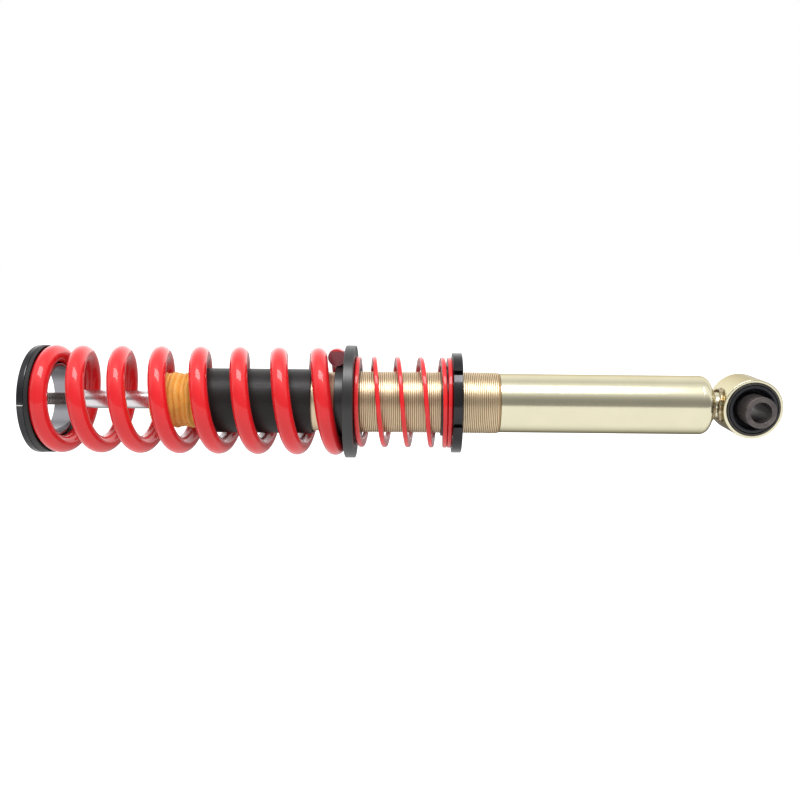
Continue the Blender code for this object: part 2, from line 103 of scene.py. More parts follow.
def across(node):
    """A CAD node's outer radius round the damper's axis, in mm."""
    low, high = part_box(node)
    return (high.z - low.z) / 2 / MM


EYE_X = sum(along("eye_ring")) / 2
COIL_TURNS = (-0.244, 8.022)  # where the main spring's wire starts and ends
COIL_RADIUS = 37.0  # to the middle of its wire
HELPER_TURNS = (-0.475, 5.5)
HELPER_RADIUS = 33.6
EASE = 0.15  # turns over which a spring's wire starts and stops climbing


# ---------------------------------------------------------------- sizes and colours


def colour_property(name, text, description):
    return FloatVectorProperty(
        name=name, description=description, default=hex_colour(text)[:3], subtype="COLOR", size=3, min=0, max=1
    )


def length_property(name, millimetres, description):
    return FloatProperty(
        name=name, description=description, default=millimetres * MM, subtype="DISTANCE", unit="LENGTH"
    )


class CoiloverSizes(bpy.types.PropertyGroup):
    """Sizes that a maker would change without touching the frame."""

    wire: length_property("Main wire", 14, "Diameter of the main spring's round wire")
    flat_across: length_property("Helper wire, across", 7, "Radial width of the helper spring's flat wire")
    flat_thick: length_property("Helper wire, thick", 3.5, "Thickness of the helper spring's flat wire")
    body_pitch: length_property("Body thread pitch", 1.5, "Pitch of the thread that the perch runs on")
    rod_pitch: length_property("Rod thread pitch", 1.25, "Pitch of the thread on the rod's end")
    points_a_turn: IntProperty(
        name="Points a turn", description="How finely the springs' wire is bent", default=64, min=24, max=128,
    )


class CoiloverColours(bpy.types.PropertyGroup):
    """The colours of the visible finishes."""

    red: colour_property("Spring red", "#DD1B22", "Powder coat of both springs")
    gold: colour_property("Body gold", "#E3DDC0", "Yellow zinc plate on the damper body and eye")
    thread: colour_property("Thread gold", "#E6D3B2", "Yellow zinc plate on the thread crests")
    foam: colour_property("Bump stop amber", "#E6AE50", "Polyurethane foam of the bump stop")
    black: colour_property("Anodised black", "#1D1C1D", "Satin black anodised rings")
    boot: colour_property("Boot black", "#1D1B1B", "Moulded plastic of the dust boot")


class CoiloverStage(bpy.types.PropertyGroup):
    """The studio round the part."""

    elevation: FloatProperty(
        name="Camera elevation", description="How far the camera looks down on the part",
        default=math.radians(10), subtype="ANGLE", unit="ROTATION",
    )
    distance: length_property("Camera distance", 697, "From the camera to the damper's axis")
    roll: FloatProperty(
        name="Camera roll", description="How far the camera is tilted sideways", default=math.radians(0.58),
        subtype="ANGLE", unit="ROTATION",
    )
    softbox: FloatProperty(
        name="Softbox power", description="Power of the overhead softbox", default=9.5, subtype="POWER", unit="POWER",
    )


# ---------------------------------------------------------------- nodes and materials


def add_node(tree, kind, inputs=(), **settings):
    """Adds one node with its settings. An input is a value, a socket, or a node for its first output."""
    made = tree.nodes.new(kind)
    for key, value in settings.items():
        setattr(made, key, value)
    for key, value in dict(inputs).items():
        if isinstance(value, bpy.types.Node):
            value = value.outputs[0]
        if isinstance(value, bpy.types.NodeSocket):
            tree.links.new(value, made.inputs[key])
        else:
            made.inputs[key].default_value = value
    return made


def bare_tree(owner):
    """The emptied node tree of a material or a world."""
    owner.use_nodes = True
    owner.node_tree.nodes.clear()
    return owner.node_tree


def distance_from_axis(tree, first, second):
    """The radius of a point from its two coordinates across an axis."""
    squared = add_node(tree, "ShaderNodeMath", {0: first, 1: first}, operation="MULTIPLY")
    total = add_node(tree, "ShaderNodeMath", {0: second, 1: second, 2: squared}, operation="MULTIPLY_ADD")
    return add_node(tree, "ShaderNodeMath", {0: total, 1: 0.5}, operation="POWER")


def surface_coordinates(tree, turned_about):
    """Object coordinates, or for a turned piece its station, its radius and a trace of its angle."""
    place = add_node(tree, "ShaderNodeTexCoord").outputs["Object"]
    if turned_about is None:
        return place, place
    if turned_about == EYE_AXIS:
        centred = add_node(tree, "ShaderNodeMapping", {"Vector": place, "Location": (-EYE_X * MM, 0, 0)})
        axes = add_node(tree, "ShaderNodeSeparateXYZ", {0: centred}).outputs
        station, first, second = axes[1], axes[0], axes[2]
    else:
        axes = add_node(tree, "ShaderNodeSeparateXYZ", {0: place}).outputs
        station, first, second = axes[0], axes[1], axes[2]
    radius = distance_from_axis(tree, first, second)
    trace = add_node(tree, "ShaderNodeMath", {0: first, 1: 0.02}, operation="MULTIPLY")
    turned = add_node(tree, "ShaderNodeCombineXYZ", {0: station, 1: radius, 2: trace})
    return place, turned


def finish(
    name, low, high, roughness, drift=20.0, grain=1.0, relief=0.0, spread=0.05, turned_about=None,
    stretch=(1, 1, 1), **shader
):
    """A surface whose colour drifts from low to high and whose grain shows in its roughness and relief.

    low and high are hex text or linear colours. drift and grain are sizes in mm, and relief is the
    grain's height in mm. The grain of a turned piece follows the tool's circles.
    """
    made = bpy.data.materials.new(name)
    tree = bare_tree(made)
    settings = {key.replace("_", " "): value for key, value in shader.items()}
    surface = add_node(tree, "ShaderNodeBsdfPrincipled", settings)
    add_node(tree, "ShaderNodeOutputMaterial", {0: surface})
    place, grained = surface_coordinates(tree, turned_about)
    patches = add_node(
        tree, "ShaderNodeTexNoise", {"Vector": place, "Scale": 1 / (drift * MM), "Detail": 3.0, "Roughness": 0.6}
    )
    shades = add_node(tree, "ShaderNodeValToRGB", {0: patches})
    for element, position, colour in zip(shades.color_ramp.elements, (0.32, 0.68), (low, high)):
        element.position = position
        element.color = hex_colour(colour) if isinstance(colour, str) else colour
    tree.links.new(shades.outputs[0], surface.inputs["Base Color"])
    scaled = add_node(tree, "ShaderNodeMapping", {"Vector": grained, "Scale": stretch})
    marks = add_node(
        tree, "ShaderNodeTexNoise", {"Vector": scaled, "Scale": 1 / (grain * MM), "Detail": 2.0, "Roughness": 0.55}
    )
    rough = add_node(
        tree, "ShaderNodeMapRange",
        {0: marks, 1: 0.3, 2: 0.7, 3: max(0.02, roughness - spread), 4: roughness + spread},
    )
    tree.links.new(rough.outputs[0], surface.inputs["Roughness"])
    if relief:
        bump = add_node(tree, "ShaderNodeBump", {"Height": marks, "Distance": relief * MM, "Strength": 1.0})
        tree.links.new(bump.outputs[0], surface.inputs["Normal"])
    return made


def mix_in(material, factor, text, roughness):
    """Where factor is 1, the surface takes another colour, given in hex, and another roughness."""
    tree = material.node_tree
    surface = tree.nodes["Principled BSDF"]
    for socket, value, kind, first in (
        ("Base Color", hex_colour(text), "RGBA", 6), ("Roughness", roughness, "FLOAT", 2)
    ):
        source = surface.inputs[socket].links[0].from_socket
        mixed = add_node(tree, "ShaderNodeMix", {0: factor, first: source, first + 1: value}, data_type=kind)
        result = mixed.outputs[2 if kind == "RGBA" else 0]
        tree.links.new(result, surface.inputs[socket])


def position_of(material):
    """The x, y and z sockets of a material's Object coordinates."""
    tree = material.node_tree
    place = add_node(tree, "ShaderNodeTexCoord").outputs["Object"]
    return add_node(tree, "ShaderNodeSeparateXYZ", {0: place}).outputs


def shade(colour, times=1.0):
    """A linear colour made darker or brighter."""
    return [min(1.0, c * times) for c in colour[:3]] + [1.0]


def red_powder_coat(colours, name="red_powder_coat"):
    # Polyester powder coat, sprayed and stoved: a deep even red under a wet-looking skin with slight orange peel.
    return finish(
        name, shade(colours.red, 0.94), shade(colours.red, 1.04), 0.45, drift=40, grain=2.4, relief=0.0004,
        spread=0.03, Coat_Weight=1.0, Coat_Roughness=0.05, Coat_IOR=1.41, Specular_IOR_Level=0.2, IOR=1.5,
    )


def yellow_zinc(colours, name, turned_about=None):
    # Zinc plate with a light yellow passivate on drawn tube: pale champagne, with faint warmer clouds.
    return finish(
        name, shade(colours.gold, 0.955), shade(colours.gold), 0.17, drift=26, grain=0.5, relief=0.0006,
        spread=0.03, turned_about=turned_about, Metallic=1.0, Specular_Tint=hex_colour("#B4AC9C"),
    )


def thread_zinc(colours, root, crest, start):
    # The same plate on a cut thread: bright crests, and roots painted darker and browner, a painted shade in the
    # grooves.
    made = finish(
        "yellow_zinc_thread", shade(colours.thread, 0.9), shade(colours.thread), 0.4, drift=18, grain=0.8,
        spread=0.05, turned_about=DAMPER_AXIS, Metallic=1.0,
    )
    tree = made.node_tree
    axes = position_of(made)
    radius = distance_from_axis(tree, axes[1], axes[2])
    # Painted shade: the colour turns darker and browner deeper in the thread's grooves, on the threaded part only.
    depth = add_node(tree, "ShaderNodeMapRange", {0: radius, 1: crest * MM, 2: root * MM, 3: 0.0, 4: 0.8})
    threaded = add_node(tree, "ShaderNodeMath", {0: axes[0], 1: start * MM}, operation="GREATER_THAN")
    painted_root_shade = add_node(tree, "ShaderNodeMath", {0: depth, 1: threaded}, operation="MULTIPLY")
    mix_in(made, painted_root_shade, "#94703F", 0.45)
    return made


def gloss_black(name="black_gloss_anodise", low="#363638", high="#444447"):
    # Aluminium turned bright, then anodised black: the tool's circles show as satin bands in a dark metal.
    return finish(
        name, low, high, 0.13, drift=30, grain=0.45, relief=0.001, spread=0.05, turned_about=DAMPER_AXIS,
        Metallic=0.85,
    )


def satin_black(colours, name="black_satin_anodise"):
    # Aluminium blasted, then anodised black: a soft charcoal with a light sheen and no clear reflections.
    return finish(
        name, shade(colours.black, 0.9), shade(colours.black, 1.2), 0.36, drift=22, grain=0.5, relief=0.0015,
        spread=0.05, turned_about=DAMPER_AXIS, IOR=1.6,
    )


def moulded_rubber(name, text="#17181B"):
    # Natural rubber from a mould: blue-black, dry, with a faint bloom.
    colour = hex_colour(text)
    return finish(name, colour, shade(colour, 1.5), 0.55, drift=9, grain=0.7, relief=0.01, spread=0.08, IOR=1.52)


def plain_steel(name):
    # Ground steel, oiled: grey metal with the grinder's fine circles.
    colour = hex_colour("#8E8D8A")
    return finish(
        name, shade(colour, 0.85), colour, 0.3, drift=12, grain=0.3, relief=0.001, turned_about=DAMPER_AXIS,
        Metallic=1.0,
    )


# ---------------------------------------------------------------- shapes


def rounded(outline, radii):
    """The closed outline with rounded corners. A near point on each side of a corner keeps flat faces flat."""
    points = np.array(outline, float)
    made = []
    for i, corner in enumerate(points):
        radius = radii[i] if hasattr(radii, "__len__") else radii
        back = points[i - 1] - corner
        on = points[(i + 1) % len(points)] - corner
        back_length, on_length = np.linalg.norm(back), np.linalg.norm(on)
        back, on = back / back_length, on / on_length
        half_angle = math.acos(float(np.clip(back @ on, -1, 1))) / 2
        reach = min(radius / math.tan(half_angle), 0.4 * min(back_length, on_length))
        if reach < 0.01:
            made.append(corner)
            continue
        guard = 1.25 * reach
        made.append(corner + back * min(guard, 0.45 * back_length))
        for t in np.linspace(0, 1, CORNER_STEPS + 1):
            made.append(corner + back * reach * (1 - t) ** 2 + on * reach * t ** 2)
        made.append(corner + on * min(guard, 0.45 * on_length))
    return made


def ring_about_x(station, radius, angle):
    """Points round the damper's axis. Station and radius are numbers or one value for each angle."""
    return np.stack([station + 0 * angle, -radius * np.sin(angle), radius * np.cos(angle)], 1)


def ring_about_bolt(station, radius, angle):
    """Points round the eye's bolt, which runs along Y."""
    return np.stack([EYE_X + radius * np.cos(angle), station + 0 * angle, radius * np.sin(angle)], 1)


def rings_of(outline, angle, ring=ring_about_x):
    """One ring for each (station, radius) of the outline."""
    return [ring(station, radius, angle) for station, radius in outline]


def skin(name, *patches):
    """One closed mesh over patches of rings.

    A patch is (rings, closed, lead). closed joins the last ring to the first, and lead is how many
    rings a helical patch climbs in one turn.
    """
    points, faces, first = [], [], 0
    for rings, closed, lead in patches:
        rings = np.asarray(rings, float)
        count, sides = rings.shape[:2]
        points.append(rings.reshape(-1, 3))
        for i in range(count if closed else count - 1):
            below = (i + 1) % count
            for j in range(sides):
                k = (j + 1) % sides
                climb = lead if k == 0 else 0
                if below + climb > count - 1:
                    continue
                faces.append((
                    first + i * sides + j, first + below * sides + j,
                    first + (below + climb) * sides + k, first + (i + climb) * sides + k,
                ))
        first += count * sides
    mesh = bpy.data.meshes.new(name)
    mesh.from_pydata(np.concatenate(points) * MM, [], faces)
    return tidy_piece(name, mesh)


def add_object(name, data):
    """A new object in the scene."""
    made = bpy.data.objects.new(name, data)
    bpy.context.scene.collection.objects.link(made)
    return made


def tidy_piece(name, mesh):
    """Merges doubles, turns faces outwards, sets the smooth shading and adds the object."""
    shape = bmesh.new()
    shape.from_mesh(mesh)
    bmesh.ops.remove_doubles(shape, verts=shape.verts, dist=0.003 * MM)
    bmesh.ops.dissolve_degenerate(shape, edges=shape.edges, dist=0.0005 * MM)
    bmesh.ops.recalc_face_normals(shape, faces=shape.faces)
    shape.to_mesh(mesh)
    shape.free()
    mesh.shade_smooth()
    mesh.set_sharp_from_angle(angle=SHARP)
    return add_object(name, mesh)


def turned(name, outline, sides=SIDES, ring=ring_about_x):
    """A lathe-turned piece. The outline is (station, radius), closed or starting and ending on the axis."""
    angle = np.arange(sides) * math.tau / sides
    solid = outline[0][1] == 0 and outline[-1][1] == 0
    return skin(name, (rings_of(outline, angle, ring), not solid, 0))


def thread_rings(start, end, pitch, root, crest, angle):
    """The rings of a helical thread between two stations, fading in and out over its last turn."""
    samples = [0.0, 1.0, 1.0, 1.0, 1.0, 0.0]
    lead = len(samples)
    rings = []
    for i in range(int((end - start) / pitch * lead) + 2 * lead):
        station = start - pitch + pitch * (i / lead + angle / math.tau)
        inside = np.clip(np.minimum(station - start, end - station) / pitch, 0, 1)
        radius = root + (crest - root) * samples[i % lead] * inside
        rings.append(ring_about_x(np.clip(station, start, end), radius, angle))
    return rings, False, lead


def evaluated(piece):
    """A piece's mesh with its modifiers applied, on the same object and without them."""
    graph = bpy.context.evaluated_depsgraph_get()
    mesh = bpy.data.meshes.new_from_object(piece.evaluated_get(graph))
    name = piece.name
    bpy.data.objects.remove(piece)
    mesh.name = name
    return tidy_piece(name, mesh)


def place_piece(piece, body, slot, material, *nodes):
    """Gives a piece its material, its body, and the CAD nodes that it stands for. The slot is not used."""
    piece.data.materials.clear()
    piece.data.materials.append(material)
    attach(piece, body)
    if nodes:
        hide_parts(*nodes)
    return piece


# ---------------------------------------------------------------- springs


COIL_SOCKETS = (
    ("Start Turn", "NodeSocketFloat"), ("End Turn", "NodeSocketFloat"), ("Points A Turn", "NodeSocketFloat"),
    ("First Station", "NodeSocketFloat"), ("Mean Radius", "NodeSocketFloat"), ("Round Wire", "NodeSocketBool"),
    ("Wire Across", "NodeSocketFloat"), ("Wire Thick", "NodeSocketFloat"), ("Corner", "NodeSocketFloat"),
)


def coil_tree(rises):
    """A node tree that bends a wire into a coil round X. It climbs in the given number of rises."""
    tree = bpy.data.node_groups.new(f"coil_of_wire_{rises}", "GeometryNodeTree")
    sockets = list(COIL_SOCKETS)
    for i in range(rises):
        sockets += [(f"Rise {i + 1} {word}", "NodeSocketFloat") for word in ("From", "To", "Height")]
    for name, kind in sockets:
        tree.interface.new_socket(name, in_out="INPUT", socket_type=kind)
    tree.interface.new_socket("Coil", in_out="OUTPUT", socket_type="NodeSocketGeometry")
    given = add_node(tree, "NodeGroupInput").outputs
    span = add_node(tree, "ShaderNodeMath", {0: given["End Turn"], 1: given["Start Turn"]}, operation="SUBTRACT")
    wanted = add_node(tree, "ShaderNodeMath", {0: span, 1: given["Points A Turn"]}, operation="MULTIPLY")
    count = add_node(tree, "ShaderNodeMath", {0: wanted}, operation="CEIL")
    step = add_node(tree, "ShaderNodeMath", {0: span, 1: count}, operation="DIVIDE")
    point_count = add_node(tree, "ShaderNodeMath", {0: count, 1: 1.0}, operation="ADD")
    index = add_node(tree, "GeometryNodeInputIndex")
    turn = add_node(tree, "ShaderNodeMath", {0: index, 1: step, 2: given["Start Turn"]}, operation="MULTIPLY_ADD")
    station = given["First Station"]
    for i in range(rises):
        start, end, height = (given[f"Rise {i + 1} {word}"] for word in ("From", "To", "Height"))
        held = add_node(tree, "ShaderNodeMath", {0: turn, 1: end, 2: EASE}, operation="SMOOTH_MIN")
        held = add_node(tree, "ShaderNodeMath", {0: held, 1: start, 2: EASE}, operation="SMOOTH_MAX")
        part = add_node(tree, "ShaderNodeMath", {0: held, 1: start}, operation="SUBTRACT")
        whole = add_node(tree, "ShaderNodeMath", {0: end, 1: start}, operation="SUBTRACT")
        share = add_node(tree, "ShaderNodeMath", {0: part, 1: whole}, operation="DIVIDE")
        station = add_node(tree, "ShaderNodeMath", {0: share, 1: height, 2: station}, operation="MULTIPLY_ADD")
    angle = add_node(tree, "ShaderNodeMath", {0: turn, 1: math.tau, 2: math.pi}, operation="MULTIPLY_ADD")
    cosine = add_node(tree, "ShaderNodeMath", {0: angle}, operation="COSINE")
    sine = add_node(tree, "ShaderNodeMath", {0: angle}, operation="SINE")
    mean = given["Mean Radius"]
    first = add_node(tree, "ShaderNodeMath", {0: cosine, 1: mean}, operation="MULTIPLY")
    second = add_node(tree, "ShaderNodeMath", {0: sine, 1: mean}, operation="MULTIPLY")
    spot = add_node(tree, "ShaderNodeCombineXYZ", {0: first, 1: second, 2: station})
    line = add_node(tree, "GeometryNodeMeshLine", {"Count": point_count})
    bent = add_node(tree, "GeometryNodeSetPosition", {"Geometry": line, "Position": spot})
    path = add_node(tree, "GeometryNodeMeshToCurve", {0: bent})
    path = add_node(tree, "GeometryNodeSetCurveNormal", {0: path}, mode="Z_UP")
    half_across = add_node(tree, "ShaderNodeMath", {0: given["Wire Across"], 1: 0.5}, operation="MULTIPLY")
    disc = add_node(tree, "GeometryNodeCurvePrimitiveCircle", {"Resolution": 48, "Radius": half_across})
    flat = add_node(
        tree, "GeometryNodeCurvePrimitiveQuadrilateral",
        {"Width": given["Wire Across"], "Height": given["Wire Thick"]},
    )
    flat = add_node(
        tree, "GeometryNodeFilletCurve", {"Curve": flat, "Count": 5, "Radius": given["Corner"]}, mode="POLY"
    )
    section = add_node(
        tree, "GeometryNodeSwitch", {"Switch": given["Round Wire"], "False": flat, "True": disc},
        input_type="GEOMETRY",
    )
    wire = add_node(tree, "GeometryNodeCurveToMesh", {"Curve": path, "Profile Curve": section, "Fill Caps": True})
    laid = add_node(tree, "GeometryNodeTransform", {"Geometry": wire, "Rotation": (0, math.pi / 2, 0)})
    add_node(tree, "NodeGroupOutput", {0: laid})
    return tree


def coil(name, values, knots):
    """A spring from the coil tree. values are its named inputs, and knots are (turn, station in mm)."""
    tree = coil_tree(len(knots) - 1)
    values = dict(values)
    values["First Station"] = knots[0][1] * MM
    for i, ((start, low), (end, high)) in enumerate(zip(knots, knots[1:])):
        values[f"Rise {i + 1} From"] = start
        values[f"Rise {i + 1} To"] = end
        values[f"Rise {i + 1} Height"] = (high - low) * MM
    holder = add_object(name, bpy.data.meshes.new(name))
    bend = holder.modifiers.new("coil", "NODES")
    bend.node_group = tree
    for item in tree.interface.items_tree:
        if item.in_out == "INPUT":
            bend[item.identifier] = values[item.name]
    return evaluated(holder)


def make_main_spring(sizes, colours):
    low, high = along("main_spring")
    wire = sizes.wire / MM
    knots = [(0.30, low + wire / 2), (7.472, high - wire / 2)]
    values = {
        "Start Turn": COIL_TURNS[0], "End Turn": COIL_TURNS[1], "Points A Turn": float(sizes.points_a_turn),
        "Mean Radius": COIL_RADIUS * MM, "Round Wire": True, "Wire Across": sizes.wire,
        "Wire Thick": sizes.wire, "Corner": 0.0,
    }
    spring = coil("red_main_spring", values, knots)
    material = red_powder_coat(colours)
    # The wire's sheared end at the divider, where the coat is thin and dull.
    tree = material.node_tree
    angle = math.tau * COIL_TURNS[1]
    radius = COIL_RADIUS * MM
    tip = (knots[-1][1] * MM, -radius * math.sin(angle), radius * math.cos(angle))
    ahead = (0, -math.cos(angle), -math.sin(angle))
    place = add_node(tree, "ShaderNodeTexCoord").outputs["Object"]
    offset = add_node(tree, "ShaderNodeVectorMath", {0: place, 1: tip}, operation="SUBTRACT")
    along_wire = add_node(
        tree, "ShaderNodeVectorMath", {0: offset, 1: ahead}, operation="DOT_PRODUCT"
    ).outputs["Value"]
    reach = add_node(tree, "ShaderNodeVectorMath", {0: offset}, operation="LENGTH").outputs["Value"]
    past = add_node(tree, "ShaderNodeMath", {0: along_wire, 1: -0.25 * MM}, operation="GREATER_THAN")
    close = add_node(tree, "ShaderNodeMath", {0: reach, 1: 0.55 * sizes.wire}, operation="LESS_THAN")
    sheared = add_node(tree, "ShaderNodeMath", {0: past, 1: close}, operation="MULTIPLY")
    mix_in(material, sheared, "#8E3A44", 0.6)
    place_piece(spring, "divider", "spring_red", material, "main_spring")
    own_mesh(spring)


def make_helper_spring(sizes, colours):
    low, high = along("helper_spring")
    thick = sizes.flat_thick / MM
    left, right = low + thick / 2, high - thick / 2
    knots = [
        (0.319, left), (3.861, right - 6.9), (4.222, right - 4.0), (4.5, right - 3.6), (4.972, right)
    ]
    values = {
        "Start Turn": HELPER_TURNS[0], "End Turn": HELPER_TURNS[1], "Points A Turn": float(sizes.points_a_turn),
        "Mean Radius": HELPER_RADIUS * MM, "Round Wire": False, "Wire Across": sizes.flat_across,
        "Wire Thick": sizes.flat_thick, "Corner": 1.1 * MM,
    }
    spring = coil("red_helper_spring", values, knots)
    material = red_powder_coat(colours, "red_powder_coat_helper")
    place_piece(spring, "collar", "spring_red", material, "helper_spring")
    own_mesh(spring)


# ---------------------------------------------------------------- top seat


def make_top_seat():
    """The seat ring with a painted reflection, a thin pale line across its rim, and the ramped rubber pad that
    cradles the first coil.
    """
    left, right = along("top_seat_ring")
    flange = along("spring_pad")[0] - 0.3
    rim = across("top_seat_ring")
    hub, bore = 29.0, 27.0
    outline = [(left, bore), (left, rim), (flange, rim), (flange, hub), (right, hub), (right, bore)]
    seat = turned("top_seat_with_hub", rounded(outline, [0.6, 0.9, 0.9, 0.5, 0.4, 0.5]))
    material = gloss_black()
    # A painted reflection: a thin pale line across the rim on the camera's side, where a strip of light would
    # reflect.
    tree = material.node_tree
    axes = position_of(material)
    reflection_height = rim * math.cos(math.radians(87.5)) * MM
    reflection_band = add_node(tree, "ShaderNodeMath", {0: axes[2], 1: reflection_height, 2: 0.35 * MM}, operation="COMPARE")
    near = add_node(tree, "ShaderNodeMath", {0: axes[1], 1: -0.9 * rim * MM}, operation="LESS_THAN")
    painted_reflection_line = add_node(tree, "ShaderNodeMath", {0: reflection_band, 1: near}, operation="MULTIPLY")
    mix_in(material, painted_reflection_line, "#E9E7E1", 0.5)
    # The hub's turned bore keeps more of its metal's shine than the flange.
    beyond = add_node(tree, "ShaderNodeMath", {0: axes[0], 1: flange * MM}, operation="GREATER_THAN")
    radius = distance_from_axis(tree, axes[2], axes[1])
    within = add_node(tree, "ShaderNodeMath", {0: radius, 1: (bore + 0.3) * MM}, operation="LESS_THAN")
    shiny = add_node(tree, "ShaderNodeMath", {0: beyond, 1: within}, operation="MAXIMUM")
    mix_in(material, shiny, "#9A9A9E", 0.13)
    place_piece(seat, "top_seat", "black_gloss_anodised", material, "top_seat_ring")

    low = along("spring_pad")[0]
    inner, outer = hub + 0.35, rim - 0.25
    degrees = np.arange(SIDES) * 360 / SIDES
    angle = np.radians(degrees)
    ramp_from, ramp_to, climb_a_turn = 108, 262, 24.6
    climb = (degrees - ramp_from) / 360 * climb_a_turn
    ramp = np.where((degrees > ramp_from) & (degrees < ramp_to), np.clip(climb, 0, 7.2), 0) + 1.0
    lip = np.interp(degrees, [0, 40, 80, 130, 170, 258, 262, 360], [2.2, 3.0, 3.3, 4.5, 7.2, 7.9, 1.9, 2.2])
    lip = np.maximum(lip, ramp)
    outline = [
        (low, inner), (low + ramp - 0.3, inner), (low + ramp, inner + 0.4), (low + ramp, 39.0),
        (low + ramp + 0.25 * (lip - ramp), 41.6), (low + lip - 0.4, outer - 1.0), (low + lip, outer - 0.6),
        (low + lip - 0.3, outer), (low, outer),
    ]
    pad = skin("spring_pad_with_lip", (rings_of(outline, angle), True, 0))
    place_piece(pad, "top_seat", "rubber", moulded_rubber("pad_rubber", "#0D0D0E"), "spring_pad")


# ---------------------------------------------------------------- rod, bump stop, boot


def make_rod(sizes):
    left, right = along("piston_rod")
    stud_length, stud, rod = 25.85, 5.0, 7.5
    shoulder = left + stud_length
    angle = np.arange(SIDES_SMALL) * math.tau / SIDES_SMALL
    root = stud - 0.65 * sizes.rod_pitch / MM
    thread_start, thread_end = left + 0.8, shoulder - 2.2
    thread = thread_rings(thread_start, thread_end, sizes.rod_pitch / MM, root, stud, angle)
    inner_shoulder = along("rebound_shims")[0] - 0.3
    outline = [
        (thread_end, root), (shoulder - 0.3, root), (shoulder, root + 0.3), (shoulder, root + 0.5),
        (shoulder, rod - 1.0), (shoulder, rod - 0.7), (shoulder + 0.35, rod - 0.2), (shoulder + 0.9, rod),
        (shoulder + 1.6, rod), (inner_shoulder - 0.4, rod), (inner_shoulder, rod - 0.4),
        (inner_shoulder, stud), (right - 0.5, stud), (right, stud - 0.5), (right, 0),
    ]
    tip = [(left, 0), (left, root - 0.7), (left + 0.1, root - 0.5), (thread_start, root)]
    piece = skin(
        "chrome_rod_with_stud", thread, (rings_of(outline, angle), False, 0), (rings_of(tip, angle), False, 0)
    )
    # Hard chrome on induction-hardened bar, ground to a soft mirror. The stud is left phosphated.
    chrome = finish(
        "hard_chrome", "#DADBDE", "#E8E8EA", 0.24, drift=30, grain=0.4, spread=0.02,
        turned_about=DAMPER_AXIS, Metallic=1.0,
    )
    axes = position_of(chrome)
    on_stud = add_node(
        chrome.node_tree, "ShaderNodeMath", {0: axes[0], 1: (shoulder + 0.2) * MM}, operation="LESS_THAN"
    )
    mix_in(chrome, on_stud, "#A69E98", 0.32)
    place_piece(piece, "rod", "chrome_rod", chrome, "piston_rod")


def make_bump_stop(colours):
    """Microcellular foam with folded ribs that lean and wander, as a well-used stop has."""
    low, high = along("bump_stop")
    outer = across("bump_stop")
    bore = 7.85
    length = high - low
    angle = np.arange(SIDES) * math.tau / SIDES
    outline = [(low + 0.4, bore), (low, bore + 0.5)]
    steps = 120
    for i in range(steps + 1):
        share = i / steps
        lean = 0.55 * np.sin(angle + 0.6) + 0.22 * np.sin(2 * angle + 2.0) + 0.12 * np.sin(5 * angle + share * 4)
        broad = 0.5 - 0.5 * np.cos(math.tau * 3 * share + lean)
        fold = np.abs(np.cos(math.pi * 8 * share + 2.2 * lean))
        depth = 1.2 * (1 - broad) + 2.0 * (1 - fold ** 0.6)
        end = min(share, 1 - share) * length
        shoulder = 1.6 * max(0.0, 1 - end / 1.6) ** 2
        outline.append((low + share * length, outer - 0.1 - depth - shoulder))
    outline += [(high, bore + 0.5), (high - 0.4, bore)]
    piece = skin("ribbed_bump_stop", (rings_of(outline, angle), True, 0))
    # Microcellular polyurethane, foamed in a mould: matt amber that glows a little, with fine open pores.
    material = finish(
        "polyurethane_foam", shade(colours.foam, 0.9), shade(colours.foam, 1.08), 0.55, drift=7, grain=0.8,
        relief=0.03, spread=0.08, Subsurface_Weight=0.15, Subsurface_Radius=(0.004, 0.0016, 0.0005),
        Subsurface_Scale=1.0,
    )
    place_piece(piece, "boot", "bump_foam", material, "bump_stop")


def make_dust_boot(colours):
    low, high = along("dust_boot")
    outer = across("dust_boot")
    wall, bore = 1.1, 10.85
    inside = outer - wall
    outline = [
        (high, inside), (high, outer), (low, outer), (low, bore), (low + wall, bore), (low + wall, inside),
    ]
    piece = turned("dust_boot_tube", rounded(outline, [0.4, 0.5, 1.4, 0.4, 0.3, 0.6]))
    # Polypropylene, blow moulded: satin black with faint draw lines along the tube.
    material = finish(
        "moulded_polypropylene", shade(colours.boot, 0.9), shade(colours.boot, 1.1), 0.42, drift=18, grain=1.2,
        relief=0.006, spread=0.06, stretch=(0.15, 1, 1), Specular_IOR_Level=0.3, IOR=1.49,
    )
    place_piece(piece, "boot", "boot_plastic", material, "dust_boot")


# ---------------------------------------------------------------- damper body


def make_threaded_tube(sizes, colours):
    left, right = along("threaded_tube")
    crest, plain, bore = across("threaded_tube"), 24.0, 21.5
    pitch = sizes.body_pitch / MM
    root = crest - 0.45 * pitch
    start, end = left + 39.0, right - 0.6
    angle = np.arange(THREAD_SIDES) * math.tau / THREAD_SIDES
    thread = thread_rings(start, end, pitch, root, crest, angle)
    outline = [
        (end, root), (right - 0.2, root), (right, root - 0.2), (right, bore), (left, bore), (left, plain - 0.6),
        (left + 0.1, plain - 0.25), (left + 0.6, plain), (left + 1.2, plain), (start - 0.5, plain), (start, root),
    ]
    piece = skin("threaded_damper_tube", thread, (rings_of(outline, angle), False, 0))
    place_piece(piece, "damper", "gold_thread", thread_zinc(colours, root, crest, start), "threaded_tube")


